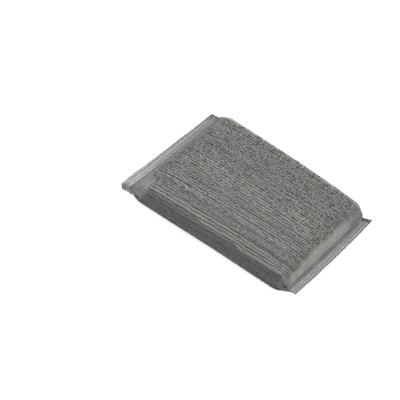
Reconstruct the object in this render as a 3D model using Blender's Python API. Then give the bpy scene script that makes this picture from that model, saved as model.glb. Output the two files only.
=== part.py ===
"""Scouring pad: a foam block inside a ribbed sleeve knitted from metallised yarn, welded flat at both ends.

Metres, +Z up. The pad lies on the bench at z = 0. X runs from one welded end to the other, Y across the pad.
"""
import math

import bmesh
import bpy

# Overall size of the pad.
LENGTH = 0.1300            # edge of one weld to edge of the other
LEFT_WIDTH = 0.0925        # across the body at its wider end, at -X
RIGHT_WIDTH = 0.0873       # across the body at its narrower end, at +X
THICKNESS = 0.0138         # bench to the top of the crown
CROWN = 0.0006             # how much the middle of the top stands above its long edges
EDGE_RADIUS = 0.0050       # rounding along the two long sides

# The welds, where the knitted tube is pressed flat and fused.
WELD_DEPTH = 0.0060        # from the crease to the outer edge
WELD_THICKNESS = 0.0010
WELD_HEIGHT = 0.0080       # middle of the weld above the bench
LEFT_WELD_WIDTH = 0.0890
RIGHT_WELD_WIDTH = 0.0817
WELD_INSET = 0.0003        # how far the weld stays inside the straight long side
WELD_SLANT = 0.0022        # how far the far corner of the +X end falls short of its near corner
KNURL_DEPTH = 0.00025      # bite of the knurled welding wheel into each face of the weld

# The padded ends between the ribs and the welds.
END_DROP = 0.0075          # length over which the pad falls to the weld
CORNER_LEAD = 0.0050       # where a corner starts to turn in, before the drop
NECK = 0.0015              # how far the pad narrows beside the weld's ears

# The knitted wall.
WALL = 0.0010              # outside of a rib to the inside of the sleeve
RIB_PITCH = 0.0024
RIB_CREST = 0.0014         # flat top of one rib
RIB_DEPTH = 0.0004
GAP_EVERY = 3              # one groove in so many has gaps between its loops
GAP_WIDTH = 0.0005
GAP_LENGTH = 0.0040
GAP_PLACE = 0.0240         # gap's middle from the middle of the pad
SLIT_HEIGHT = 0.0005       # hollow's height where it ends, in the crease of the weld

# The foam block.
CORE_CLEARANCE = 0.0003    # all round, to the sleeve's inside
CORE_REACH = 0.45          # how far the block reaches into the drop at each end, as a share of the drop

# How finely the curved stretches are cut.
DROP_STEPS = (0.40, 0.72)          # shares of the drop at which the padded end has a ring
CORNER_ANGLES = (18.0, 48.0, 75.0)  # degrees round each long edge, from the side towards the top

HALF_LENGTH = LENGTH / 2
HALF_BODY = (THICKNESS - CROWN) / 2
HALF_WELD = WELD_THICKNESS / 2
ROOT = HALF_LENGTH - WELD_DEPTH
SHOULDER = ROOT - END_DROP
CORNER_START = SHOULDER - CORNER_LEAD
NEAR_SIDE = -LEFT_WIDTH / 2
FAR_LEFT = LEFT_WIDTH / 2
FAR_RIGHT = NEAR_SIDE + RIGHT_WIDTH


def mix(a, b, share):
    """Value between a and b."""
    return a + (b - a) * share


def drop_at(x):
    """How far the padded end has fallen to the weld: 0 on the body, 1 at the crease and on the weld."""
    share = min(max((abs(x) - SHOULDER) / END_DROP, 0.0), 1.0)
    return share ** 2


def sides_at(x):
    """Near and far side of the pad's outline at x, as y values."""
    body_far = mix(FAR_LEFT, FAR_RIGHT, (x + CORNER_START) / (2 * CORNER_START))
    weld_near = NEAR_SIDE + WELD_INSET
    weld_far = weld_near + (RIGHT_WELD_WIDTH if x > 0 else LEFT_WELD_WIDTH)
    if abs(x) >= ROOT:
        neck = NECK * (HALF_LENGTH - abs(x)) / WELD_DEPTH
        return weld_near + neck, weld_far - neck
    turn = max(abs(x) - CORNER_START, 0.0) / (ROOT - CORNER_START)
    share = 1 - math.sqrt(1 - turn ** 2)
    return mix(NEAR_SIDE, weld_near + NECK, share), mix(body_far, weld_far - NECK, share)


def groove_depth(x):
    """Depth of the grooves between the ribs at x, and of the knurl's bite in the middle of the weld."""
    if abs(x) > ROOT:
        middle = abs(abs(x) - ROOT - WELD_DEPTH / 2) < WELD_DEPTH / 4
        return KNURL_DEPTH if middle else 0.0
    return RIB_DEPTH * (1 - drop_at(x))


def point(x, column, inset, grooved):
    """One point of the pad's skin, moved inwards by inset. A column is (face, across, angle, in_groove)."""
    face, across, angle, in_groove = column
    near, far = sides_at(x)
    half_width = (far - near) / 2
    drop = drop_at(x)
    half_height = mix(HALF_BODY, HALF_WELD, drop)
    radius = min(EDGE_RADIUS, half_height)
    flat = half_width - radius
    radius = radius - inset
    y = (near + far) / 2 + across * flat + math.copysign(1, across) * radius * math.cos(angle)
    z = mix(HALF_BODY, WELD_HEIGHT, drop)
    z += face * (half_height - inset - radius * (1 - math.sin(angle)))
    if face > 0:
        z += CROWN * (1 - across ** 2) * (1 - drop)
    if in_groove and grooved:
        z -= face * groove_depth(x)
    slant = WELD_SLANT * max(x, 0.0) / HALF_LENGTH * (y - near) / (far - near)
    return (x - slant, y, z)


def round_the_section(flats):
    """Columns once round the section: near side, top from near to far, far side, bottom back to the near side."""
    def corner(face, side):
        return [(face, side, math.radians(a), False) for a in CORNER_ANGLES]

    def face_columns(face):
        row = [(face, across, math.pi / 2, in_groove) for across, in_groove in flats]
        return corner(face, -1) + row + corner(face, 1)[::-1]

    return [(0, -1, 0.0, False)] + face_columns(1) + [(0, 1, 0.0, False)] + face_columns(-1)[::-1]


def rib_columns():
    """Edges of the ribs' crests, bottoms of the grooves, and the sides of each gapped groove, from near to far."""
    half_flat = (LEFT_WIDTH + RIGHT_WIDTH) / 4 - EDGE_RADIUS
    ribs = int((half_flat - RIB_CREST / 2) / RIB_PITCH)
    flats = [(-1.0, False)]
    gapped = []
    for rib in range(-ribs, ribs + 1):
        middle = rib * RIB_PITCH
        flats += [((middle - RIB_CREST / 2) / half_flat, False), ((middle + RIB_CREST / 2) / half_flat, False)]
        groove = middle + RIB_PITCH / 2
        if rib == ribs:
            break
        if rib % GAP_EVERY == 0:
            pair = [(groove - GAP_WIDTH / 2) / half_flat, (groove + GAP_WIDTH / 2) / half_flat]
            gapped.append(pair)
            flats += [(across, True) for across in pair]
        else:
            flats.append((groove / half_flat, True))
    return flats + [(1.0, False)], gapped


def both_ways(half_stations):
    """Stations along X on both sides of the middle, in order."""
    return [-x for x in reversed(half_stations)] + list(half_stations)


def add_rings(bm, stations, columns, inset, grooved):
    """One ring of vertices at each station."""
    return [[bm.verts.new(point(x, c, inset, grooved)) for c in columns] for x in stations]


def skin_rings(bm, rings, holes=()):
    """Faces between neighbouring rings, apart from the holes, which are (ring, column) pairs."""
    count = len(rings[0])
    for row in range(len(rings) - 1):
        for i in range(count):
            if (row, i) not in holes:
                k = (i + 1) % count
                bm.faces.new((rings[row][i], rings[row][k], rings[row + 1][k], rings[row + 1][i]))


def cap_ring(bm, ring):
    """Close a flat end: the top columns are joined to the bottom columns under them."""
    count = len(ring)
    for i in range(count // 2):
        corners = [ring[i], ring[i + 1], ring[count - i - 1], ring[(count - i) % count]]
        bm.faces.new(list(dict.fromkeys(corners)))


def gap_places(stations, columns, gapped):
    """Where the gaps are: (ring, column) of each, on the top and on the bottom."""
    rows = [row for row in range(len(stations) - 1)
            if abs(abs(stations[row] + stations[row + 1]) / 2 - GAP_PLACE) < GAP_LENGTH / 4]
    places = set()
    for low, high in gapped:
        for i, (face, across, _, _) in enumerate(columns):
            first = low if face > 0 else high
            if face != 0 and across == first:
                places.update((row, i) for row in rows)
    return places


def finish(bm, name, material):
    """Turn a bmesh into a named object with its own material."""
    bmesh.ops.recalc_face_normals(bm, faces=bm.faces)
    mesh = bpy.data.meshes.new(name)
    bm.to_mesh(mesh)
    bm.free()
    mesh.materials.append(material)
    mesh.shade_smooth()
    mesh.set_sharp_from_angle(angle=math.radians(40))
    piece = bpy.data.objects.new(name, mesh)
    bpy.context.scene.collection.objects.link(piece)
    return piece


def plain_material(name, colour, roughness, metallic):
    """Principled material of one colour."""
    material = bpy.data.materials.new(name)
    material.use_nodes = True
    shader = material.node_tree.nodes["Principled BSDF"]
    shader.inputs["Base Color"].default_value = (*colour, 1.0)
    shader.inputs["Roughness"].default_value = roughness
    shader.inputs["Metallic"].default_value = metallic
    return material


def build_sleeve():
    """The knitted tube, ribbed along its length and fused flat at both ends, with gaps in some of its grooves."""
    flats, gapped = rib_columns()
    hollow_flats = [(-1.0, False)] + [(a, False) for pair in gapped for a in pair] + [(1.0, False)]
    outer_columns = round_the_section(flats)
    inner_columns = round_the_section(hollow_flats)

    hollow_end = math.sqrt((HALF_BODY - WALL - SLIT_HEIGHT / 2) / (HALF_BODY - HALF_WELD))
    body = [GAP_PLACE - GAP_LENGTH / 2, GAP_PLACE + GAP_LENGTH / 2, CORNER_START, SHOULDER]
    body += [SHOULDER + END_DROP * share for share in DROP_STEPS]
    outer_stations = both_ways(body + [ROOT, ROOT + WELD_DEPTH / 2, HALF_LENGTH])
    inner_stations = both_ways(body + [SHOULDER + END_DROP * hollow_end])

    bm = bmesh.new()
    outer = add_rings(bm, outer_stations, outer_columns, 0.0, True)
    inner = add_rings(bm, inner_stations, inner_columns, WALL, False)
    outer_gaps = gap_places(outer_stations, outer_columns, gapped)
    inner_gaps = gap_places(inner_stations, inner_columns, gapped)
    skin_rings(bm, outer, outer_gaps)
    skin_rings(bm, inner, inner_gaps)
    for rings in (outer, inner):
        cap_ring(bm, rings[0])
        cap_ring(bm, rings[-1])
    for (row, i), (inner_row, k) in zip(sorted(outer_gaps), sorted(inner_gaps)):
        rim = [outer[row][i], outer[row][i + 1], outer[row + 1][i + 1], outer[row + 1][i]]
        back = [inner[inner_row][k], inner[inner_row][k + 1], inner[inner_row + 1][k + 1], inner[inner_row + 1][k]]
        for side in range(4):
            after = (side + 1) % 4
            bm.faces.new((rim[side], rim[after], back[after], back[side]))
    knit = plain_material("knit", (0.19, 0.187, 0.18), 0.45, 0.35)
    return finish(bm, "knit_sleeve", knit)


def build_core():
    """The foam block that fills the sleeve and gives the pad its thickness."""
    columns = round_the_section([(-1.0, False), (-0.5, False), (0.0, False), (0.5, False), (1.0, False)])
    stations = both_ways([CORNER_START, SHOULDER, SHOULDER + END_DROP * CORE_REACH])
    bm = bmesh.new()
    rings = add_rings(bm, stations, columns, WALL + CORE_CLEARANCE, False)
    skin_rings(bm, rings)
    cap_ring(bm, rings[0])
    cap_ring(bm, rings[-1])
    foam = plain_material("foam", (0.68, 0.60, 0.46), 0.85, 0.0)
    return finish(bm, "foam_core", foam)


def main():
    for old in list(bpy.data.objects):
        bpy.data.objects.remove(old, do_unlink=True)
    build_core()
    build_sleeve()


main()
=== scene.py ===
# %% [markdown]
# # A metal scourer
#
# The object is a scouring pad about as large as a hand. A block of foam sits inside a sleeve that is
# knitted round, as a tube, from flat metallised yarn. Both ends of the tube are pressed flat and fused
# under a knurled tool. Every piece follows the shape of the filled sleeve, so that is found first. The
# finishes, the inner side and the foam, the knit and the two fused ends come next, and the light and the
# camera last.
#
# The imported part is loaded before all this, because every piece has to sit where its solids sit.

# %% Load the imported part
import math

import bpy
import numpy as np
from mathutils import Matrix, Vector


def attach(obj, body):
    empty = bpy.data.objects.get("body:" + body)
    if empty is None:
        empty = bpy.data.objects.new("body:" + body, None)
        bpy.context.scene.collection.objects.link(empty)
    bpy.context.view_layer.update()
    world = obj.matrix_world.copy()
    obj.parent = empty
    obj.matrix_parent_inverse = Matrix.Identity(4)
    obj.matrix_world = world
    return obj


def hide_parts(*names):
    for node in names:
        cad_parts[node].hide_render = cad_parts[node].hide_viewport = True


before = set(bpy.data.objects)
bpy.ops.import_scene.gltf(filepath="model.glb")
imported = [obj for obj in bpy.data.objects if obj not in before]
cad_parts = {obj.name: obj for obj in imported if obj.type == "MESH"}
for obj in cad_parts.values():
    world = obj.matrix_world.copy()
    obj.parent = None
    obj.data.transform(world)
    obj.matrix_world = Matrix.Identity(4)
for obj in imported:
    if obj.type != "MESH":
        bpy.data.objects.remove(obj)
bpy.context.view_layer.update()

# %% [markdown]
# ## The filled sleeve's shape
#
# Seen from above the pad is a rectangle, a little wider at one end. A section across it is a flat box with
# round sides. Towards each end the section sinks to the thin line where the tube is fused, and at the near
# corners the underside starts to rise before that. One could draw this with a subdivided box, but then
# nothing would say where a stitch belongs. A grid of points is used: one direction goes round the sleeve
# and the other runs along it, exactly as the knit does.
#
# Where a size differs between the ends, -1 stands for the left end and 1 for the right end.

# %% The sizes of the sleeve, in metres
LENGTH = 0.1300
LEFT_WIDTH = 0.0925
RIGHT_WIDTH = 0.0873
THICKNESS = 0.0138
CROWN = 0.0006
WELD_DEPTH = 0.0060
WELD_THICKNESS = 0.0010
WELD_HEIGHT = 0.0080
WELD_WIDTH = {-1: 0.0890, 1: 0.0817}
WELD_INSET = 0.0003
WELD_SLANT = 0.0022
END_DROP = 0.0075
CORNER_LEAD = 0.0050
CORNER_FULLNESS = {-1: 2.4, 1: 1.9}
KNIT_INSET = 0.00035
ROUNDING = 0.0034
FAR_SWELL = 0.0014
NEAR_NECK = 0.0002
FAR_NECK = {-1: 0.0002, 1: 0.0008}
ROOT_LIFT = {-1: 0.0013, 1: 0.0}
ROOT_LIFT_REACH = 0.010
LIFT_START = {-1: 0.0490, 1: 0.0495}
LIFT_SHARE = {-1: 0.64, 1: 0.72}

HALF_LENGTH = LENGTH / 2
HALF_BODY = (THICKNESS - CROWN) / 2
HALF_WELD = WELD_THICKNESS / 2
ROOT = HALF_LENGTH - WELD_DEPTH
SHOULDER = ROOT - END_DROP
CORNER_START = SHOULDER - CORNER_LEAD
NEAR_SIDE = -LEFT_WIDTH / 2
FAR_LEFT = LEFT_WIDTH / 2
FAR_RIGHT = NEAR_SIDE + RIGHT_WIDTH
print("the body ends and the weld begins", round(ROOT * 1000, 1), "mm from the middle")


# %% Small helpers
TURN = 2 * math.pi


def mix(a, b, share):
    return a + (b - a) * share


def clamp(value):
    return np.clip(value, 0, 1)


def rise(start, end, value):
    """0 up to the start, 1 from the end on, smooth in between. The end may be the lower of the two."""
    share = clamp((value - start) / (end - start))
    return share * share * (3 - 2 * share)


def fall(start, end, value):
    return 1 - rise(start, end, value)


# %% Where the two long sides run
def drop_at(x):
    """How far the section has sunk towards the fused end: round shoulder, steep wall, flat foot."""
    share = min(max((abs(x) - SHOULDER) / END_DROP, 0.0), 1.0)
    return 1 - (1 - share ** 2) ** 1.8


def weld_sides(end):
    near = NEAR_SIDE + WELD_INSET
    return near, near + WELD_WIDTH[end]


def far_side(x):
    """The body's far side, which swells a little. The corners aren't in it."""
    far = mix(FAR_LEFT, FAR_RIGHT, (x + CORNER_START) / (2 * CORNER_START))
    return far + FAR_SWELL * np.maximum(1 - (x / CORNER_START) ** 2, 0.0)


def sides_at(x):
    end = 1 if x > 0 else -1
    weld_near, weld_far = weld_sides(end)
    turn = min(max(abs(x) - CORNER_START, 0.0) / (ROOT - CORNER_START), 1.0)
    share = 1 - (1 - turn ** CORNER_FULLNESS[end]) ** (1 / CORNER_FULLNESS[end])
    return mix(NEAR_SIDE, weld_near + NEAR_NECK, share), mix(far_side(x), weld_far - FAR_NECK[end], share)


def root_lift(end, from_far):
    """How far the root of the fused strip is drawn up towards its far corner."""
    return ROOT_LIFT[end] * clamp(1 - from_far / ROOT_LIFT_REACH) ** 2


MID_NEAR, MID_FAR = sides_at(0.0)
MID_Y = (MID_NEAR + MID_FAR) / 2
FLAT = (MID_FAR - MID_NEAR) / 2 - ROUNDING
ARC = ROUNDING * math.pi / 2
WALL = HALF_BODY - ROUNDING
GIRTH = float(4 * (FLAT + ARC + WALL))
print("girth", round(GIRTH * 1000, 1), "mm, middle of the width at y", round(MID_Y * 1000, 2), "mm")


# %% One section of the sleeve
def section(x, around, inset):
    """Points of the section at x. Distances round it start under the middle, and the far side is first."""
    near, far = sides_at(x)
    side = np.where(around < GIRTH / 2, 1.0, -1.0)
    up = np.where(around < GIRTH / 2, around, GIRTH - around)
    face = np.where(up < GIRTH / 4, -1.0, 1.0)
    out = np.minimum(up, GIRTH / 2 - up)
    across = clamp(out / FLAT)
    angle = np.clip((out - FLAT) / ROUNDING, 0, math.pi / 2)
    wall = 1 - clamp((out - FLAT - ARC) / WALL)
    low_near = clamp((out - 0.75 * FLAT) / (0.25 * FLAT)) * clamp((GIRTH / 4 - up) / WALL) * (side < 0)
    end = 1 if x > 0 else -1
    lifted = LIFT_SHARE[end] * clamp((abs(x) - LIFT_START[end]) / (ROOT - LIFT_START[end])) ** 1.8
    drop = mix(drop_at(x), lifted, low_near)
    half_height = mix(HALF_BODY, HALF_WELD, drop) - inset * (1 - 0.6 * drop)
    radius = np.minimum(ROUNDING - inset, 0.75 * half_height)
    flat = (far - near) / 2 - inset - radius
    y = (near + far) / 2 + side * (across * flat + radius * np.sin(angle))
    middle = mix(HALF_BODY, WELD_HEIGHT + root_lift(end, far - y), drop)
    z = middle + face * ((half_height - radius) * wall + radius * np.cos(angle))
    z = z + np.where(face > 0, CROWN * (1 - across ** 2) * (1 - drop), 0.0)
    slant = WELD_SLANT * max(x, 0.0) / HALF_LENGTH * (y - near) / (far - near)
    return np.stack([x - slant, y, z], -1)


# %% Rows along the sleeve, evenly spaced over the drop at each end
COLUMNS = 128
ROWS = 80


def row_places(count):
    fine = np.linspace(-ROOT, ROOT, 4001)
    height = np.array([mix(HALF_BODY, HALF_WELD, drop_at(x)) for x in fine])
    run = np.concatenate([[0], np.cumsum(np.hypot(np.diff(fine), np.diff(height)))])
    return np.interp(np.linspace(0, run[-1], count), run, fine), run[-1]


row_x, RUN = row_places(ROWS)
row_run = np.linspace(0, RUN, ROWS)
columns = np.arange(COLUMNS) / COLUMNS * GIRTH
rest = np.array([section(x, columns, KNIT_INSET) for x in row_x])
print("grid", rest.shape, "run along the top", round(RUN * 1000, 1), "mm")

# %% [markdown]
# ## Filling the sleeve
#
# Foam presses the knit outwards, and the fused ends hold it. That gives the sleeve a slight swell. It
# could be sculpted, but cloth simulation finds where it starts and which way it goes: the grid becomes a
# cloth, its end rows are pinned, and a small pressure acts from inside with gravity off. The result is
# capped, because foam keeps the pad nearly flat, and the underside stays on the table. The cap is reached
# at about half of the points, and on most of the top.


# %% From a grid of points to a piece, and back
def grid_faces(rows, cols):
    r, c = np.meshgrid(np.arange(rows - 1), np.arange(cols), indexing="ij")
    n = (c + 1) % cols
    return np.stack([r * cols + c, r * cols + n, (r + 1) * cols + n, (r + 1) * cols + c], -1).reshape(-1, 4)


def end_faces(rows, cols):
    """Closes each end by joining its underside to its top, column by column."""
    faces = []
    for row, turn in ((0, 1), (rows - 1, -1)):
        for a in list(range(cols // 4)) + list(range(3 * cols // 4, cols)):
            b = (a + 1) % cols
            ring = [v + row * cols for v in (a, b, (cols // 2 - b) % cols, (cols // 2 - a) % cols)]
            ring = [v for i, v in enumerate(ring) if v not in ring[:i]]
            faces.append(ring if turn < 0 else ring[::-1])
    return faces


def new_object(name, data):
    thing = bpy.data.objects.new(name, data)
    bpy.context.scene.collection.objects.link(thing)
    return thing


def new_piece(name, points, faces):
    mesh = bpy.data.meshes.new(name)
    points = np.asarray(points, float).reshape(-1, 3).tolist()
    mesh.from_pydata(points, [], [list(map(int, f)) for f in faces])
    mesh.update()
    return new_object(name, mesh)


def read(data, key, width):
    flat = np.empty(len(data) * width, np.float32)
    data.foreach_get(key, flat)
    return flat.reshape(-1, width).astype(float)


def write(data, key, values):
    data.foreach_set(key, np.asarray(values, np.float32).ravel())


# %% Blow the sleeve up a little, and keep what the foam would allow
PRESSURE = 1.5
SWELL_CAP = 0.0009
LAST_FRAME = 20


def fill_sleeve():
    cloth = new_piece("filling", rest, grid_faces(ROWS, COLUMNS))
    pins = cloth.vertex_groups.new(name="fused ends")
    pins.add(list(range(COLUMNS)) + list(range((ROWS - 1) * COLUMNS, ROWS * COLUMNS)), 1.0, "REPLACE")
    puff = cloth.modifiers.new("puff", "CLOTH")
    puff.settings.quality = 6
    puff.settings.mass = 0.3
    puff.settings.vertex_group_mass = "fused ends"
    puff.settings.use_pressure = True
    puff.settings.uniform_pressure_force = PRESSURE
    puff.settings.effector_weights.gravity = 0
    puff.point_cache.frame_start, puff.point_cache.frame_end = 1, LAST_FRAME
    for step in range(1, LAST_FRAME + 1):
        bpy.context.scene.frame_set(step)
    graph = bpy.context.evaluated_depsgraph_get()
    moved = read(cloth.evaluated_get(graph).data.vertices, "co", 3).reshape(rest.shape)
    bpy.data.objects.remove(cloth)
    bpy.context.scene.frame_set(1)
    return moved


swell = fill_sleeve() - rest
swell_size = np.linalg.norm(swell, axis=-1, keepdims=True)
print("swell before the cap: mean", round(float(swell_size.mean() * 1000), 2),
      "mm, most", round(float(swell_size.max() * 1000), 2), "mm")
skin = rest + swell * np.minimum(1, SWELL_CAP / np.maximum(swell_size, 1e-9))
skin[..., 2] = np.maximum(skin[..., 2], np.minimum(rest[..., 2], KNIT_INSET))


# %% [markdown]
# ## Noise that closes on itself
#
# Nothing hand-fed through a machine is perfectly even. A small helper gives smooth noise over the sleeve
# that joins up round the girth, so no seam shows. Its first use is for the soft dents, which are deepest
# where the sleeve gathers beside each end. The seeds are fixed, so every run gives the same pad.


# %% Smooth noise over the sleeve
def look_up(table, a, b, smooth=False):
    """Values between a table's cells. Its columns close round the sleeve, and its rows run along it."""
    a0 = np.floor(a).astype(int)
    b0 = np.clip(np.floor(b).astype(int), 0, len(table) - 2)
    fa, fb = a - a0, clamp(b - b0)
    if smooth:
        fa, fb = rise(0, 1, fa), rise(0, 1, fb)
    if table.ndim > 2:
        fa, fb = fa[:, None], fb[:, None]
    a0, a1 = a0 % table.shape[1], (a0 + 1) % table.shape[1]
    low = table[b0, a0] * (1 - fa) + table[b0, a1] * fa
    high = table[b0 + 1, a0] * (1 - fa) + table[b0 + 1, a1] * fa
    return low * (1 - fb) + high * fb


def unevenness(around, along, size_around, size_along, seed):
    """Smooth values between -1 and 1, with features of about those sizes in metres."""
    cols = max(4, int(round(GIRTH / size_around)))
    rows = int(RUN / size_along) + 4
    table = np.random.default_rng(seed).uniform(-1, 1, (rows, cols))
    return look_up(table, around / GIRTH * cols, along / size_along + 1, smooth=True)


# %% Directions on the sleeve, and soft dents
SOFT_DENT = 0.00006
END_DENT = 0.00022
UNDERSIDE = 0.0012


def unit(v):
    return v / np.maximum(np.linalg.norm(v, axis=-1, keepdims=True), 1e-12)


def directions(points):
    along = np.gradient(points, axis=0)
    around = (np.roll(points, -1, 1) - np.roll(points, 1, 1)) / 2
    return unit(around), unit(along), unit(np.cross(around, along))


A, L = np.meshgrid(columns, row_run)
from_end = np.minimum(L, RUN - L)
dent = SOFT_DENT * unevenness(A, L, 0.011, 0.017, 3)
dent = dent + END_DENT * fall(0.0, 0.012, from_end) * unevenness(A, L, 0.0055, 0.012, 4)
dent = np.where(skin[..., 2] < UNDERSIDE, 0, dent) * rise(0, 0.003, from_end)
skin = skin + dent[..., None] * directions(skin)[2]
skin_around, skin_along, skin_out = directions(skin)
print("middle of the top faces up:", np.round(skin_out[ROWS // 2, COLUMNS // 2], 2))


# %% [markdown]
# ## From the tube to the pad
#
# The knit is easiest to make as the machine makes it, as a straight round tube. It is then pulled over the
# filled sleeve: a distance round the tube becomes a distance round the sleeve, a distance along it stays
# one, and a height above it becomes a height above the sleeve. These helpers turn such distances into
# places.


# %% Look up the sleeve anywhere
def on_sleeve(around, along, table):
    return look_up(table, (around / GIRTH % 1.0) * COLUMNS, clamp(along / RUN) * (ROWS - 1))


def y_at(around):
    """Where a line on the top lies across the pad, from its distance round the sleeve."""
    return MID_Y - (around - GIRTH / 2)


def around_at(y):
    return GIRTH / 2 - (y - MID_Y)


# %% [markdown]
# ## Finishes
#
# Four finishes are enough: the bright yarn, the dull inner side of the knit under it, the fused film of
# the ends, and the foam. Each is a small node tree. The first helper adds a node, sets it and links it in
# one line.


# %% Helpers for every node tree
def add(tree, kind, inputs=None, **settings):
    node = tree.nodes.new(kind)
    for name, value in settings.items():
        setattr(node, name, value)
    for key, value in (inputs or {}).items():
        if isinstance(value, bpy.types.NodeSocket):
            tree.links.new(value, node.inputs[key])
        else:
            node.inputs[key].default_value = value
    return node


def maths(tree, operation, a, b=0.0, c=0.0, **settings):
    return add(tree, "ShaderNodeMath", {0: a, 1: b, 2: c}, operation=operation, **settings).outputs[0]


def stored(tree, name):
    return add(tree, "ShaderNodeAttribute", attribute_name=name).outputs["Fac"]


def object_place(tree):
    return add(tree, "ShaderNodeTexCoord").outputs["Object"]


def noise(tree, place, scale, detail):
    inputs = {"Vector": place, "Scale": scale, "Detail": detail}
    return add(tree, "ShaderNodeTexNoise", inputs).outputs["Fac"]


def ramp(tree, factor, stops):
    node = add(tree, "ShaderNodeValToRGB", {"Fac": factor})
    while len(node.color_ramp.elements) < len(stops):
        node.color_ramp.elements.new(0.5)
    for element, (place, colour) in zip(node.color_ramp.elements, stops):
        element.position, element.color = place, (*colour, 1)
    return node.outputs["Color"]


# %% Start and end of a finish
def new_finish(name, metallic, roughness):
    material = bpy.data.materials.new(name)
    material.use_nodes = True
    shader = material.node_tree.nodes["Principled BSDF"]
    shader.inputs["Metallic"].default_value = metallic
    shader.inputs["Roughness"].default_value = roughness
    return material, material.node_tree, shader


def set_surface(tree, shader, colour, height, distance, strength):
    """Gives the finish its colour, and dents it finely by a height."""
    tree.links.new(colour, shader.inputs["Base Color"])
    bump = add(tree, "ShaderNodeBump", {"Height": height, "Distance": distance, "Strength": strength})
    tree.links.new(bump.outputs["Normal"], shader.inputs["Normal"])


# %% [markdown]
# ### The metallised yarn
#
# The yarn is a thin flat tape with a metal coat. It is bright where it faces the light and dark where it
# dips between its neighbours. The metal is a little rough. Each leg of a loop has its own tone, stored on
# the mesh when it is knitted, and a fine noise breaks up the tape's surface. When the tube is pulled over
# the pad, painted shade and painted highlights are added to that stored tone.

# %% Metallised yarn
yarn, tree, shader = new_finish("metallised yarn", 0.6, 0.45)
grain = noise(tree, object_place(tree), 2600.0, 2.0)
total = maths(tree, "ADD", stored(tree, "tone"), maths(tree, "MULTIPLY_ADD", grain, 0.3, -0.15))
greys = [(0.0, (0.09, 0.088, 0.083)), (0.5, (0.225, 0.222, 0.213)), (1.0, (0.48, 0.476, 0.46))]
set_surface(tree, shader, ramp(tree, total, greys), grain, 0.00004, 0.5)
print("finish:", yarn.name)

# %% [markdown]
# ### The inner side of the knit
#
# Under the bright loops lies the dull inner side of the same knit. In the grooves it reads as dark grey:
# partly the knit's own inner side, and partly painted shade for the depth of the knit over the ivory foam.
# At the ends the sleeve is stretched so far that the ivory foam shows through it. A stored stretch value
# moves the colour from grey to the foam's tone, and towards near black as painted shade in the pocket.

# %% Inner side of the knit
inner, tree, shader = new_finish("inner knit and painted shade", 0.2, 0.6)
lay = add(tree, "ShaderNodeUVMap", uv_map="lay").outputs["UV"]
spread = add(tree, "ShaderNodeMapping", {"Vector": lay, "Scale": (900.0, 260.0, 1.0)}).outputs["Vector"]
fibres = noise(tree, spread, 1.0, 3.0)
# The grey at 0.15 is the inner side, partly painted shade for the knit's depth; the near-black first stop is
# painted shade, reached only in the pocket.
greys = [(0.0, (0.02, 0.02, 0.02)), (0.15, (0.14, 0.138, 0.132)), (0.45, (0.17, 0.17, 0.175)),
         (1.0, (0.52, 0.50, 0.455))]
by_stretch = ramp(tree, stored(tree, "stretch_and_painted_shade"), greys)
streaks = ramp(tree, fibres, [(0.34, (0.66, 0.655, 0.66)), (0.66, (1.0, 1.0, 1.0))])
blend = add(tree, "ShaderNodeMix", {6: by_stretch, 7: streaks, 0: 1.0},
            data_type="RGBA", blend_type="MULTIPLY")
set_surface(tree, shader, blend.outputs[2], fibres, 0.0002, 0.6)
print("finish:", inner.name)

# %% [markdown]
# ### The fused ends
#
# Heat melts the yarn's plastic core, and the metal coat breaks up into a pale film. It is lighter and less
# metallic than the yarn, with a soft shine. A stored knurl value is high on the raised blocks and low in
# folds and hollows, where it is painted shade, and it also carries painted light on slopes that face away
# from the lamps and along the strip's root. Where it is lowest the shine goes too, because no light gets
# in there.

# %% Fused film
film, tree, shader = new_finish("fused knit", 0.25, 0.38)
mottle = noise(tree, object_place(tree), 900.0, 4.0)
total = maths(tree, "ADD", stored(tree, "knurl_and_painted_light"), mottle)
greys = [(0.0, (0.045, 0.045, 0.048)), (0.21, (0.085, 0.084, 0.088)), (0.455, (0.14, 0.139, 0.142)),
         (0.70, (0.28, 0.278, 0.272)), (1.0, (0.50, 0.50, 0.495))]
set_surface(tree, shader, ramp(tree, maths(tree, "MULTIPLY", total, 0.7), greys), mottle, 0.00008, 0.5)
out_of_the_fold = maths(tree, "MULTIPLY", total, 12.0, use_clamp=True)
tree.links.new(maths(tree, "MULTIPLY", out_of_the_fold, 0.5), shader.inputs["Specular IOR Level"])
print("finish:", film.name)

# %% [markdown]
# ### The foam
#
# Open-cell foam is matt and full of pores. A cell pattern darkens the pores with painted shade and dents
# them a little.

# %% Foam
foam, tree, shader = new_finish("ivory foam", 0.0, 0.9)
pores = add(tree, "ShaderNodeTexVoronoi", {"Vector": object_place(tree), "Scale": 1100.0})
cells = pores.outputs["Distance"]
# The dark stop is painted shade in the pores.
ivories = [(0.0, (0.34, 0.29, 0.20)), (0.35, (0.68, 0.60, 0.46))]
set_surface(tree, shader, ramp(tree, cells, ivories), cells, 0.0004, 0.7)
print("finish:", foam.name)


# %% [markdown]
# ## Where the knit turns into a smooth film
#
# The knit stops short of the fused ends. From there the sleeve is drawn over the edge of the foam so
# tightly that it becomes a smooth skin with fine stripes, and the ivory foam shows through. The line where
# that begins isn't straight. At the left end it lies further in at both corners, most of all at the near
# one. At the right end it lies a little further in from the middle to the far side. It wavers everywhere.

# %% The line between knit and film
FILM_START = {-1: 0.0052, 1: 0.0062}
NEAR_LEFT_FILM = 0.0068
FAR_LEFT_FILM = 0.0030
FAR_RIGHT_FILM = 0.0010


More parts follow.
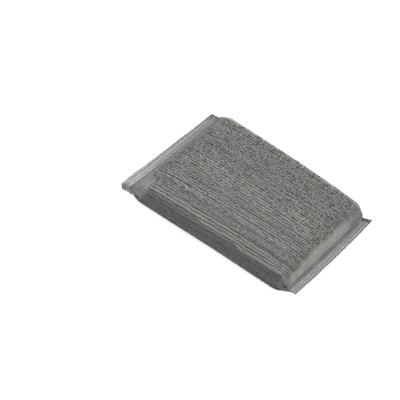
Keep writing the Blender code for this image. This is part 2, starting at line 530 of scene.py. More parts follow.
def film_share(around, along, early=0.0, soft=0.0005):
    """0 on the knit, 1 on the smooth film at each end. It can begin a little early, and softly."""
    y = y_at(around)
    near_corner = rise(-0.024, -0.040, y) * (np.abs(around - GIRTH / 2) < GIRTH / 4)
    left = FILM_START[-1] + NEAR_LEFT_FILM * near_corner + FAR_LEFT_FILM * rise(0.026, 0.042, y)
    right = FILM_START[1] + FAR_RIGHT_FILM * rise(-0.024, 0.004, y)
    waver = 0.0007 * unevenness(around, along * 0, 0.0022, 0.01, 61)
    waver = waver + 0.0005 * unevenness(around, along * 0, 0.009, 0.01, 62)
    at_left = fall(-soft, soft, along - left - waver - early)
    at_right = fall(-soft, soft, RUN - along - right - waver - early)
    return np.maximum(at_left, at_right)


def side_walls(around):
    """0 on the top and the underside, 1 on the pad's long sides."""
    up = np.minimum(around, GIRTH - around)
    return rise(FLAT + 0.2 * ARC, FLAT + 0.9 * ARC, np.minimum(up, GIRTH / 2 - up))


# %% [markdown]
# ## The columns of loops
#
# The loops stand in columns that run along the pad, the wales. A knitting machine spaces them unevenly,
# and where two stand further apart than the rest a dark line shows. Those gaps are listed first. The wales
# are then fitted in between, so that a gap always falls between two of them.
#
# The sleeve also sits a little askew on its foam. The wales near the straight long side lean, and all of
# them bow a little.

# %% The gaps: y halfway along the pad, size, and for some from where to where they run in x
GAPS = ((0.0368, 1.1, -0.058, 0.03), (0.0347, 0.5, -0.03, 0.058), (0.0328, 0.5, -0.012, 0.035),
        (0.0311, 0.6, 0.01, 0.058), (0.0278, 0.15, -0.03, 0.058), (0.0260, 0.4, -0.035, 0.058),
        (0.0228, 0.3), (0.0208, 0.4, -0.03, 0.012), (0.0190, 0.25, -0.01, 0.03), (0.0156, 0.8),
        (0.0122, 0.35, -0.04, 0.06), (0.0103, 0.15, -0.06, -0.005), (0.0086, 0.15, 0, 0.035),
        (0.0047, 1.25), (0.0002, 0), (-0.0018, 0), (-0.0042, 0.25, 0.012, 0.06),
        (-0.0064, 0.2, -0.06, 0.015), (-0.0086, 0), (-0.0108, 0.65), (-0.0163, 1.05, -0.038, 0.06),
        (-0.0204, 0), (-0.0229, 1.05), (-0.0250, 0.5, 0.01, 0.06), (-0.0287, 0.6),
        (-0.0323, 0.2, -0.03, 0.06), (-0.0356, 0.4), (-0.0381, 0.1), (-0.0405, 0.6), (-0.0428, 0.35),
        (-0.0452, 0.4))
ALL_ALONG = (-0.06, 0.06)
RIBS_Y = (-0.0350, -0.0455)
USUAL_WALE = 0.0019
USUAL_RIB = 0.0027


def lay_out_wales():
    """Distances round the sleeve of the wales' edges. A gap always falls between two wales."""
    rng = np.random.default_rng(8)
    marks = [0.0] + sorted(around_at(y) for y, *_ in GAPS) + [GIRTH]
    edges = [0.0]
    for a, b in zip(marks[:-1], marks[1:]):
        usual = USUAL_RIB if around_at(RIBS_Y[0]) < (a + b) / 2 < around_at(RIBS_Y[1]) else USUAL_WALE
        widths = rng.uniform(0.88, 1.12, max(1, round((b - a) / usual)))
        edges += list(a + np.cumsum(widths) / widths.sum() * (b - a))
    return np.array(edges)


wale_edges = lay_out_wales()
WALES = len(wale_edges) - 1
WALE = GIRTH / WALES
widths = np.diff(wale_edges) * 1000
print(WALES, "wales, from", round(widths.min(), 2), "to", round(widths.max(), 2), "mm wide")

# %% The way the columns lean across the pad: at each y, the shift of a wale 40 mm from the middle
LEAN = ((-0.046, 0.0027), (-0.040, 0.0020), (-0.035, 0.0017), (-0.028, 0.0010), (-0.010, 0.0005),
        (0.005, 0.0003), (0.025, 0.0), (0.045, 0.0))
BOW = 0.0005
LEAN_REACH = 0.040


def body_at(x):
    """The middle of the pad's width at x, and half of its flat width, without the corners."""
    far = far_side(x)
    return (NEAR_SIDE + far) / 2, (far - NEAR_SIDE) / 2 - ROUNDING


def drift(around, x):
    """How far round the sleeve a wale lies at x from where it lies halfway along the pad."""
    flat_part = np.clip(around, GIRTH / 2 - FLAT, GIRTH / 2 + FLAT)
    y = MID_Y + GIRTH / 2 - flat_part
    leaning_x = np.maximum(x, np.interp(y, [-0.036, -0.028], [-0.016, -0.070]))
    y = y + np.interp(y, *zip(*LEAN)) * leaning_x / LEAN_REACH - BOW * (x / LEAN_REACH) ** 2
    middle, flat = body_at(x)
    moved = GIRTH / 2 - (y - middle) * FLAT / flat - flat_part
    return moved * clamp((GIRTH / 2 - np.abs(around - GIRTH / 2)) / (GIRTH / 2 - FLAT))


most = float(drift(GIRTH / 2 + FLAT, np.float64(-0.05)))
print("a wale on the near edge drifts by", round(most * 1000, 1), "mm at the left")

# %% [markdown]
# ## The inner side of the sleeve and the foam
#
# Both follow the filled shape. The inner side lies 0.4 mm below the loops' middle, and rises over them
# where the knit becomes film. Its mesh is close enough to carry the film's stripes, which go on from the
# wales. Near the right end of the near side it has a small pocket. The foam is a plainer form inside it,
# with one level of subdivision to round it.

# %% The sheet under the loops
POCKET = (0.0572, -0.0454, 0.0084)
POCKET_DEPTH = 0.0014
FINE_REACH = 0.0135
FINE_ROWS = np.arange(0, FINE_REACH, 0.0004)
UNDER_LOOPS = 0.00038
OVER_LOOPS = 0.00050
coarse_rows = np.arange(FINE_REACH, RUN - FINE_REACH, 0.0021)
sheet_rows = np.concatenate([FINE_ROWS, coarse_rows, RUN - FINE_ROWS[::-1]])
sheet_columns = np.arange(WALES * 8) / (WALES * 8) * GIRTH
SA, SL = (grid.ravel() for grid in np.meshgrid(sheet_columns, sheet_rows))
SX = np.interp(SL, row_run, row_x)
from_root = np.minimum(SL, RUN - SL)
streak = np.interp(SA - drift(SA, SX), wale_edges, np.arange(WALES + 1))
streak = -np.cos(TURN * streak + 0.6 * unevenness(SA, SL, 0.006, 0.004, 63))
stripes = np.where(SX < 0, 0.00009, 0.00005) * streak * rise(0.0015, 0.0045, from_root)
height = -UNDER_LOOPS + film_share(SA, SL, 0.0002, 0.0009) * (OVER_LOOPS + stripes)
height = height + 0.00003 * unevenness(SA, SL, 0.0015, 0.0015, 64)
height *= 0.3 + 0.7 * rise(0, 0.002, from_root)
sheet = on_sleeve(SA, SL, skin)
pocket = np.exp(-np.sum((sheet - POCKET) ** 2, 1) / 0.0010 ** 2)
sheet = sheet + (height - POCKET_DEPTH * pocket)[:, None] * on_sleeve(SA, SL, skin_out)
inner_side = new_piece("inner_knit", sheet, list(grid_faces(len(sheet_rows), len(sheet_columns)))
                       + end_faces(len(sheet_rows), len(sheet_columns)))
print("inner side", len(inner_side.data.polygons), "faces")


# %% Its values for the finish: where the foam shows through, how the stripes lie, and painted shade in the pocket
def dress(piece, finish):
    piece.data.materials.append(finish)
    piece.data.polygons.foreach_set("use_smooth", [True] * len(piece.data.polygons))


dress(inner_side, inner)
mesh = inner_side.data
corner_points = np.empty(len(mesh.loops), int)
mesh.loops.foreach_get("vertex_index", corner_points)
write(mesh.uv_layers.new(name="lay").data, "uv", np.stack([SA[corner_points], SL[corner_points]], -1))
SY = y_at(SA)
pale_left = film_share(SA, SL, 0.0014, 0.0018) * mix(0.48, 0.57, rise(0.040, -0.040, SY))
pale_right = film_share(SA, SL, 0.0022, 0.0018) * 0.43
pale_right += film_share(SA, SL, -0.0010, 0.0024) * mix(0.24, 0.38, rise(0.044, 0.012, SY))
pale_right *= 1 - 0.26 * rise(-0.034, -0.043, SY) - 0.20 * rise(0.024, 0.030, SY)
pale = np.where(SX < 0, pale_left * (1 + 0.10 * streak), pale_right * (1 + 0.04 * streak))
pale *= mix(np.where(SX < 0, 0.62, 0.86), 1, rise(0.0004, 0.0048, from_root))
pale *= 1 - np.where(SX < 0, -0.1, 0.5) * side_walls(SA)
# In the pocket the value falls towards the near-black stop: painted shade.
pale = np.maximum(pale, 0.15 + 0.09 * side_walls(SA)) * (1 - clamp(1.3 * pocket))
write(mesh.attributes.new("stretch_and_painted_shade", "FLOAT", "POINT").data, "value", pale)
print("the foam shows through", round(float((pale > 0.3).mean() * 100)), "% of the sheet's points")

# %% The foam inside
FOAM_END = 0.0075
FOAM_DEPTH = 0.0013
keep = np.where((row_run >= FOAM_END) & (row_run <= RUN - FOAM_END))[0]
foam_block = new_piece("foam_block", (skin - FOAM_DEPTH * skin_out)[keep],
                       list(grid_faces(len(keep), COLUMNS)) + end_faces(len(keep), COLUMNS))
dress(foam_block, foam)
rounder = foam_block.modifiers.new("rounder", "SUBSURF")
rounder.levels = rounder.render_levels = 1
print("foam", len(foam_block.data.polygons), "faces")


# %% [markdown]
# ## The knit
#
# A machine knits the tube course by course. Each course is one closed ring of yarn that rises and falls in
# loops, and every loop hangs on the one below. Together the wales are the ribs that one feels along the
# pad.
#
# Thousands of equal loops that follow one rule are work for Geometry Nodes. The tree makes a stack of
# rings, moves their points by the loop's formula, sets the flat side of the tape outwards, and gives each
# ring a thin profile. Its inputs are the sizes that a knitter would name.

# %% Start the knitting tree
COURSES = 88
BANDS = ("knit_left", "knit_mid_left", "knit_mid_right", "knit_right")
KNIT_INPUTS = {
    "Stitches": WALES, "Points per stitch": 10, "First course": 0, "Courses": COURSES // len(BANDS),
    "Radius": GIRTH / TURN, "Course spacing": float(RUN / COURSES), "Loop height": 0.0025,
    "Swing": 0.00018, "Squeeze": 0.00010, "Depth": 0.00019, "Rib lift": 0.00005, "Yarn width": 0.00101,
    "Yarn thickness": 0.00014, "Twist": 1.1, "Unevenness": 0.00005, "Crinkle": 0.00006, "Seed": 7,
    "Material": yarn}
SOCKETS = {int: "NodeSocketInt", float: "NodeSocketFloat", bpy.types.Material: "NodeSocketMaterial"}
knit_tree = bpy.data.node_groups.new("knitted tube", "GeometryNodeTree")
for label, value in KNIT_INPUTS.items():
    socket = knit_tree.interface.new_socket(label, in_out="INPUT", socket_type=SOCKETS[type(value)])
    socket.default_value = value
knit_tree.interface.new_socket("Geometry", in_out="OUTPUT", socket_type="NodeSocketGeometry")
asked = add(knit_tree, "NodeGroupInput").outputs
print("knitting tree:", len(KNIT_INPUTS), "inputs")


# %% Arithmetic in the tree
def step_of(operation):
    return lambda a, b=0.0, c=0.0: maths(knit_tree, operation, a, b, c)


plus, minus, times, over = (step_of(name) for name in ("ADD", "SUBTRACT", "MULTIPLY", "DIVIDE"))
sine, cosine, floor, times_plus = (step_of(name) for name in ("SINE", "COSINE", "FLOOR", "MULTIPLY_ADD"))


def knit(kind, inputs=None, **settings):
    return add(knit_tree, kind, inputs, **settings).outputs[0]


def vectors(operation, a, b=(0.0, 0.0, 0.0), scale=1.0):
    return knit("ShaderNodeVectorMath", {0: a, 1: b, 3: scale}, operation=operation)


def joined(x=0.0, y=0.0, z=0.0):
    return knit("ShaderNodeCombineXYZ", {0: x, 1: y, 2: z})


def parts(place):
    return add(knit_tree, "ShaderNodeSeparateXYZ", {0: place}).outputs


# %% A stack of rings, one for each course
points_round = times(asked["Stitches"], asked["Points per stitch"])
ring = knit("GeometryNodeCurvePrimitiveCircle", {"Resolution": points_round, "Radius": asked["Radius"]})
start = joined(z=times(plus(asked["First course"], 0.5), asked["Course spacing"]))
stack = knit("GeometryNodeMeshLine", {"Count": asked["Courses"], "Start Location": start,
                                      "Offset": joined(z=asked["Course spacing"])})
rings = knit("GeometryNodeInstanceOnPoints", {"Points": stack, "Instance": ring})
loose = knit("GeometryNodeRealizeInstances", {0: rings})
print("rings:", KNIT_INPUTS["Courses"], "courses of", WALES * KNIT_INPUTS["Points per stitch"], "points")

# %% [markdown]
# The formula of a plain knitted loop needs three waves. Once in each stitch the yarn goes up and down,
# which gives the loop's height. Twice in each stitch it swings sideways, which rounds the loop's head and
# foot, and twice it dips, because head and foot pass behind the loops next to them. A weaker sideways
# wave, once in each stitch, squeezes the loop, and another one lifts its head out of the rib.

# %% Move the points by the loop's formula
place = knit("GeometryNodeInputPosition")
index = knit("GeometryNodeInputIndex")
stitch = over(index, asked["Points per stitch"])
turn = times(stitch, TURN)
phase = minus(turn, times(sine(times(turn, 2.0)), 0.2))
twice = times(phase, 2.0)
sideways = plus(times(sine(twice), asked["Swing"]), times(sine(phase), asked["Squeeze"]))
upwards = times(cosine(phase), times(asked["Loop height"], -0.5))
dip = times(cosine(twice), times(asked["Depth"], -1.0))
outwards = plus(dip, times(cosine(phase), times(asked["Rib lift"], -1.0)))


# %% Add a little unevenness, first by stitch and then by point
def random_shift(by, more_seed, size):
    inputs = {"ID": by, "Seed": plus(asked["Seed"], more_seed), 0: (-1.0, -1.0, -1.0), 1: (1.0, 1.0, 1.0)}
    return vectors("SCALE", knit("FunctionNodeRandomValue", inputs, data_type="FLOAT_VECTOR"), scale=size)


by_stitch = random_shift(floor(plus(stitch, 0.25)), 1, asked["Unevenness"])
uneven = parts(vectors("ADD", by_stitch, random_shift(index, 2, asked["Crinkle"])))
sideways = plus(sideways, uneven[0])
upwards = plus(upwards, uneven[1])
outwards = times_plus(uneven[2], 0.6, outwards)

# %% Put the points round the tube
bearing = plus(over(phase, asked["Stitches"]), over(sideways, asked["Radius"]))
reach = plus(asked["Radius"], outwards)
target = joined(times(reach, cosine(bearing)), times(reach, sine(bearing)), plus(parts(place)[2], upwards))
looped = knit("GeometryNodeSetPosition", {"Geometry": loose, "Position": target})

# %% [markdown]
# The tape has to lie flat on the tube. A curve can carry a normal at each point: it is set square to both
# the way the yarn runs and the way out of the tube, and then twisted a little at random. Two values are
# stored for later. One is a tone for each leg of each loop, set against the tones of the legs beside,
# above and below it, with a finer one for each point on top. The other is the place of the yarn's middle
# line.


# %% Lay the tape flat, and store its tone and middle line
def chance(by, more_seed=0):
    """A random number from 0 to 1 for each value of the field."""
    inputs = {"ID": by, "Seed": plus(asked["Seed"], more_seed)}
    return add(knit_tree, "FunctionNodeRandomValue", inputs, data_type="FLOAT").outputs[1]


def store(geometry, name, value, kind):
    inputs = {"Geometry": geometry, "Name": name, "Value": value}
    return knit("GeometryNodeStoreNamedAttribute", inputs, data_type=kind)


way_out = vectors("NORMALIZE", vectors("MULTIPLY", place, (1.0, 1.0, 0.0)))
square = vectors("NORMALIZE", vectors("CROSS_PRODUCT", way_out, knit("GeometryNodeInputTangent")))
twist = times(minus(chance(index, 3), 0.5), asked["Twist"])
stay, tip = vectors("SCALE", square, scale=cosine(twist)), vectors("SCALE", way_out, scale=sine(twist))
faced = vectors("ADD", stay, tip)
laid = knit("GeometryNodeSetCurveNormal", {"Curve": looped, "Normal": faced}, mode="FREE")

leg = floor(times(stitch, 2.0))
legs_round = times(asked["Stitches"], 2.0)
against = plus(chance(leg), 0.5)
for step in (1.0, -1.0, legs_round, times(legs_round, -1.0)):
    against = times_plus(chance(plus(leg, step)), -0.25, against)
tone = times_plus(chance(index, 4), 0.4, times(against, 0.6))
toned = store(laid, "tone", tone, "FLOAT")
cored = store(toned, "core", knit("GeometryNodeInputPosition"), "FLOAT_VECTOR")

# %% The tape's profile, and the end of the tree
tape = knit("GeometryNodeCurvePrimitiveQuadrilateral", {
    "Bottom Width": asked["Yarn width"], "Top Width": times(asked["Yarn width"], 0.55),
    "Height": asked["Yarn thickness"], "Offset": 0.0}, mode="TRAPEZOID")
solid = knit("GeometryNodeCurveToMesh", {"Curve": cored, "Profile Curve": tape})
whole = knit("GeometryNodeRealizeInstances", {0: solid})
dressed = knit("GeometryNodeSetMaterial", {"Geometry": whole, "Material": asked["Material"]})
knit_tree.links.new(dressed, add(knit_tree, "NodeGroupOutput").inputs[0])
print("knitting tree:", len(knit_tree.nodes), "nodes")


# %% [markdown]
# ### Knitting four bands
#
# All 88 courses in one mesh would be too heavy to handle, so the tube is knitted in four bands of 22
# courses each. A band is made of whole rings, so no yarn is cut where two bands meet.


# %% Run the tree for one band
def knit_band(name, first):
    holder = new_object(name, bpy.data.meshes.new(name))
    modifier = holder.modifiers.new("knit", "NODES")
    modifier.node_group = knit_tree
    wanted = {**KNIT_INPUTS, "First course": first}
    for item in knit_tree.interface.items_tree:
        if item.in_out == "INPUT":
            modifier[item.identifier] = wanted[item.name]
    graph = bpy.context.evaluated_depsgraph_get()
    mesh = bpy.data.meshes.new_from_object(holder.evaluated_get(graph), depsgraph=graph)
    holder.modifiers.remove(modifier)
    holder.data = mesh
    mesh.name = name
    return holder


bands = [knit_band(name, number * KNIT_INPUTS["Courses"]) for number, name in enumerate(BANDS)]
print("bands:", [(b.name, len(b.data.polygons)) for b in bands])

# %% [markdown]
# ### Pulling the tube over the pad
#
# A real sleeve isn't even. Each wale has its own width, height and tone, and dark lines run where the gaps
# are, deepened with painted shade. Along the near edge the tension rises and a few ribs stand out straight,
# the outermost with a painted highlight. In one place they jump sideways, and in two places a small fault
# crosses them. Here and there the loops are tangled, two ridges stand up, and one spot has sunk to a hole
# that is darkened with painted shade. The long sides are calmer than the top and painted darker as shade,
# the far half of the top carries a little painted shade, a painted highlight runs along the far edge, and at
# the near left the ribs' ends are bright.
#
# Each of these is a shift of the yarn's middle line or a change of its tone, made before the yarn is laid
# on the sleeve. The painted shade and highlights are such changes of tone.

# %% Where the knit is uneven, in metres: x, y, how far it reaches each way, and for tangles how strongly
FAULTS = ((-0.0158, -0.0315, 0.0012, 0.0045), (0.0158, -0.0320, 0.0011, 0.0050))
TANGLES = ((-0.022, -0.002, 0.024, 0.0050, 0.7), (0.040, -0.001, 0.013, 0.0050, 0.7),
           (-0.024, -0.005, 0.008, 0.003, 1.0), (-0.015, -0.031, 0.0020, 0.0050, 1.0),
           (0.016, -0.033, 0.0022, 0.0060, 1.0), (-0.030, -0.0265, 0.022, 0.0010, 0.9),
           (0.030, -0.0254, 0.020, 0.0010, 0.8), (0.050, 0.032, 0.006, 0.007, 0.8),
           (-0.048, 0.030, 0.005, 0.012, 0.6))
RIDGES = ((-0.033, -0.0263, 0.018, 0.0009), (0.030, -0.0254, 0.020, 0.0008))
HOLES = ((-0.043, -0.0287, 0.0034, 0.0011),)
JUMP_X = 0.0205
JUMP = 0.0009
FAULT_SIZE = 0.0006
CRUMPLE = 0.00008
TANGLE = 0.00040
RIDGE_HEIGHT = 0.00018
HOLE_DEPTH = 0.0012
RIB_HEIGHT = 0.00004
RIB_CURVE = 0.00002
LAST_RIB_HEIGHT = 0.00006
FILM_SINK = 0.0008


def patches(x, y, places):
    """1 in the middle of each place, fading to 0 around it, times its strength where it has one."""
    values = [np.exp(-((x - px) / rx) ** 2 - ((y - py) / ry) ** 2) * (strength[0] if strength else 1)
              for px, py, rx, ry, *strength in places]
    return np.max(values, axis=0)


# %% Give each wale its own width, height and tone
def lay_wales(around, along, out):
    number = np.floor(around / WALE).astype(int) % WALES
    share = around / WALE - np.floor(around / WALE)
    low, high = wale_edges[number], wale_edges[number + 1]
    centre, width = (low + high) / 2, high - low
    place = number * WALE
    narrow = 1 - 0.02 * unevenness(place, along, WALE, 0.016, 32)
    around = centre + (share - 0.5) * width * narrow
    around = around + 0.00010 * unevenness(place, along, WALE, 0.012, 33)
    out = out * WALE / width + 0.00005 * unevenness(place, along, WALE, 0.012, 34)
    return around, out, unevenness(place, along, WALE, 0.018, 35), centre, width


# %% Open the gaps between some wales, and paint shade along them
GAP_FADE = 0.004
GAP_WIDTH = 0.00014
GAP_DEPTH = 0.00014
PUSHED_ASIDE = 0.0014
GROOVE = 0.0007
PAINTED_SHADE_WIDTH = 0.00045


def gap_lines():
    """The listed gaps, and some at random on the sides and the underside."""
    rng = np.random.default_rng(5)
    lines = [(around_at(y), size, *(reach or ALL_ALONG)) for y, size, *reach in GAPS]
    line = 0.004
    while line < GIRTH:
        if abs(line - GIRTH / 2) > FLAT:
            lines.append((line, rng.uniform(0.3, 0.9), *ALL_ALONG))
        line += WALE * rng.integers(2, 5)
    return lines


def open_gaps(around, along, out):
    x = np.interp(along, row_run, row_x)
    shift, sink, dark = np.zeros_like(around), np.zeros_like(around), np.zeros_like(around)
    for at, size, x0, x1 in gap_lines():
        at = wale_edges[np.argmin(np.abs(wale_edges - at))]
        away = around - at
        strength = size * (0.8 + 0.5 * unevenness(np.full_like(along, at), along, 0.002, 0.006, 11))
        strength *= rise(x0 - GAP_FADE, x0 + GAP_FADE, x) * fall(x1 - GAP_FADE, x1 + GAP_FADE, x)
        shift += GAP_WIDTH * strength * np.sign(away) * np.exp(-np.abs(away) / PUSHED_ASIDE)
        sink += GAP_DEPTH * strength * np.exp(-(away / GROOVE) ** 2)
        # The third value is painted shade along each gap, which later darkens the yarn's tone.
        dark += strength * np.exp(-(away / PAINTED_SHADE_WIDTH) ** 2)
    return around + shift, out - sink, dark


# %% The bright ribs along the near edge
OUTER_RIB = (-0.0405, -0.0428, RIBS_Y[1])


def bright_ribs(x, y):
    """Shares of the bright ribs and of the outermost one, and where that lies: further out to the right."""
    last_y = mix(OUTER_RIB[0], OUTER_RIB[1], rise(-0.012, -0.004, x))
    last_y = last_y + (OUTER_RIB[2] - OUTER_RIB[1]) * rise(0.018, 0.022, x)
    ribs = rise(last_y - 0.0005, last_y, y) * fall(RIBS_Y[0], RIBS_Y[0] + 0.0005, y)
    return ribs, ribs * fall(last_y + 0.0020, last_y + 0.0028, y), last_y


# %% Bend, tangle and stretch
# Changes of tone for the marks. The long side walls, more on the near one, the far half of the top and the
# hole get painted shade; the outermost near rib and the far rounded edge get painted highlights.
TONES_AND_PAINTED_LIGHT = {"ribs": -0.02, "last_ribs": 0.12, "ridge": 0.16, "tangled": 0.05, "walls": -0.06,
         "near_wall_painted_shade": -0.09, "hole": -0.5, "fault": -0.08, "mottled_fault": 0.45, "rib_ends": 0.30,
         "far_edge_painted_highlight": 0.34, "fading": 0.14, "far_half_painted_shade": -0.02}
CALMS = {"ribs": -0.45, "walls": -0.35, "fading": -0.3, "hole": -0.8}


def lay_yarn(around, along, out, centre, width):
    """Shifts the yarn's middle line, and gives its tone, with painted shade and highlights, and how much of
    its random tone stays.
    """
    x = np.interp(along, row_run, row_x)
    on_top = np.abs(around - GIRTH / 2) < FLAT + ARC
    wale_y = y_at(around)
    moved = drift(around, x)
    middle, flat = body_at(x)
    y = middle + (GIRTH / 2 - around - moved) * flat / FLAT
    ribs, last_ribs, last_y = bright_ribs(x, wale_y)
    ribs, last_ribs = on_top * ribs, on_top * last_ribs
    uneven_places = (TANGLES, RIDGES, HOLES, FAULTS)
    tangled, ridge, hole, fault = (on_top * patches(x, y, places) for places in uneven_places)
    walls = np.maximum(side_walls(around), on_top * fall(last_y - 0.0008, last_y, wale_y))

    out = out * (1 - 0.45 * walls) + RIDGE_HEIGHT * ridge - HOLE_DEPTH * hole
    out = out + ribs * (RIB_HEIGHT + RIB_CURVE * np.cos((around - centre) / width * TURN))
    out = out + LAST_RIB_HEIGHT * last_ribs
    around = centre + (around - centre) * (1 - 0.05 * ribs)
    amount = CRUMPLE + TANGLE * tangled
    shift = [unevenness(around, along, 0.0011, 0.0012, seed) for seed in (21, 22, 23)]
    around = around + amount * shift[0] + JUMP * ribs * rise(JUMP_X - 0.0008, JUMP_X + 0.0008, x)
    around = around + FAULT_SIZE * fault * unevenness(around, along, 0.0024, 0.0014, 24)
    along = along + amount * shift[1] + FAULT_SIZE * fault * shift[1]
    out = out + 0.5 * amount * shift[2]
    around = around + moved
    film_here = film_share(around, along, -0.0003, 0.0008)
    out = out * (1 - 0.4 * film_here) - FILM_SINK * film_here

    beyond = (GIRTH / 2 - around - FLAT) * (around > GIRTH / 4)
    near_left = (x < 0) * on_top * rise(-0.022, -0.034, y)
    marks = {"ribs": ribs, "last_ribs": last_ribs, "ridge": ridge, "tangled": tangled, "walls": walls,
             "near_wall_painted_shade": walls * (around > GIRTH / 2), "hole": hole, "fault": fault,
             "mottled_fault": fault * unevenness(around, along, 0.0016, 0.0010, 25),
             "rib_ends": film_share(around, along, 0.0013, 0.0005) * near_left,
             "far_edge_painted_highlight": rise(-0.0010, 0.0, beyond) * fall(0.6 * ARC, ARC, beyond),
             "fading": film_share(around, along, 0.0016, 0.0020), "far_half_painted_shade": rise(0.010, 0.035, y) * on_top}
    tone = sum(TONES_AND_PAINTED_LIGHT[name] * marks[name] for name in TONES_AND_PAINTED_LIGHT)
    calm = 1 + sum(CALMS[name] * marks[name] for name in CALMS)
    return around, along, out, tone, calm, film_here


# %% Pull one band over the pad
BASE_TONE = 0.264
TONE_RANGE = 0.41
GAP_PAINTED_SHADE = 0.15
WALE_TONE = 0.01


def pull_over(band):
    mesh = band.data
    core = read(mesh.attributes["core"].data, "vector", 3)
    offset = read(mesh.vertices, "co", 3) - core
    bearing = np.arctan2(core[:, 1], core[:, 0])
    out_x, out_y = np.cos(bearing), np.sin(bearing)
    side_part = offset[:, 1] * out_x - offset[:, 0] * out_y
    out_part = offset[:, 0] * out_x + offset[:, 1] * out_y
    around = bearing % TURN * KNIT_INPUTS["Radius"]
    along = core[:, 2]
    out = np.hypot(core[:, 0], core[:, 1]) - KNIT_INPUTS["Radius"]
    around, out, wale_tone, centre, width = lay_wales(around, along, out)
    around, out, dark = open_gaps(around, along, out)
    around, along, out, more_tone_and_painted_light, calm, film_here = lay_yarn(around, along, out, centre, width)
    thin = 1 - 0.35 * film_here
    local = [on_sleeve(around, along, table) for table in (skin_around, skin_along, skin_out)]
    place = on_sleeve(around, along, skin) + local[2] * (out + out_part * thin)[:, None]
    place += local[0] * (side_part * thin * width / WALE)[:, None] + local[1] * offset[:, 2:3]
    place[:, 2] = np.maximum(place[:, 2], 0.00002)
    write(mesh.vertices, "co", place)
    tone = read(mesh.attributes["tone"].data, "value", 1)[:, 0]
    # The stored tone is the yarn's own random tone, plus painted shade along the gaps and the painted shade
    # and highlights of the marks.
    tone = BASE_TONE + TONE_RANGE * calm * (tone - 0.5) - GAP_PAINTED_SHADE * dark + WALE_TONE * wale_tone + more_tone_and_painted_light
    write(mesh.attributes["tone"].data, "value", tone)
    mesh.attributes.remove(mesh.attributes["core"])
    mesh.update()
    return place


for band in bands:
    placed = pull_over(band) * 1000
    print(band.name, "reaches", np.round(placed.min(0), 1), "to", np.round(placed.max(0), 1), "mm")


# %% [markdown]
# ## The fused ends
#
# A knurled tool presses the tube flat and melts it, so each end is a thin strip with small raised blocks
# in rows. The strip is a grid again: for each station across the pad, one thin closed section that follows
# the top, goes round the cut edge and comes back underneath. Under its near end a web of film reaches down
# to the pad's side. At the left the near end droops over this web in a rounded ear. At the far corners the
# strip stands out beyond its root: the right one is raised and the left one hangs a little. The right
# strip's edge also bulges slightly, and painted shade darkens its root at the pocket in the near side. The
# strips' tones carry more painted light and shade: lighter on the ear's slope and along the root, darker in
# the folds.

# %% Sizes of the knurl and of the strip, for the left and the right end
KNURL_PITCH = {-1: 0.00185, 1: 0.00200}
KNURL_ROW = {-1: 0.00235, 1: 0.00205}
KNURL_TILT = {-1: 0.50, 1: 0.75}
KNURL_HEIGHT = {-1: 0.00030, 1: 0.00020}
KNURL_START = {-1: (0.0012, 0.0026), 1: (0.0020, 0.0020)}
FILM_HALF = 0.00040
FILLET = 0.0007
FILLET_REACH = 0.0022
INSIDE = 0.0016
WEB = {-1: 0.0052, 1: 0.0033}
EAR_LIFT = {-1: -0.0007, 1: 0.0016}
EAR_RADIUS = 0.0012
EAR_DROOP = {-1: 0.0038, 1: 0.0}
EAR_REACH = {-1: 0.0009, 1: 0.0}
EDGE_BULGE = {-1: 0.0, 1: 0.00055}
EDGE_WAVE = 0.00028
RAGGED = 0.00012
RIM = 0.0004
NEAR_ROUNDING = 0.0011
WEB_WIDTH = 0.0085
DROOP_WIDTH = 0.0046
LIFT_WIDTH = 0.009
REACH_WIDTH = 0.006
STATIONS = 450
ACROSS = 30


def knurl_at(y, out, side, start):
    """Height of the knurl, 0 in its furrows and 1 on its blocks. It begins `start` out from the root."""
    inside = rise(start, start + 0.0005, out) * fall(WELD_DEPTH - 0.0006, WELD_DEPTH - 0.0002, out)
    row = (out - start) / KNURL_ROW[side]
    along_row = 0.5 - 0.5 * np.cos(TURN * row)
    along_edge = 0.5 + 0.5 * np.cos(TURN * (y / KNURL_PITCH[side] + KNURL_TILT[side] * row))
    return inside * clamp(1.5 * along_row ** 0.5 * along_edge ** 1.4)


def rounded(distance):
    """From nearly 0 at an edge to 1 inside it, along a quarter of a circle."""
    return np.sqrt(clamp(1 - (1 - clamp(distance / RIM)) ** 2)) * 0.85 + 0.15


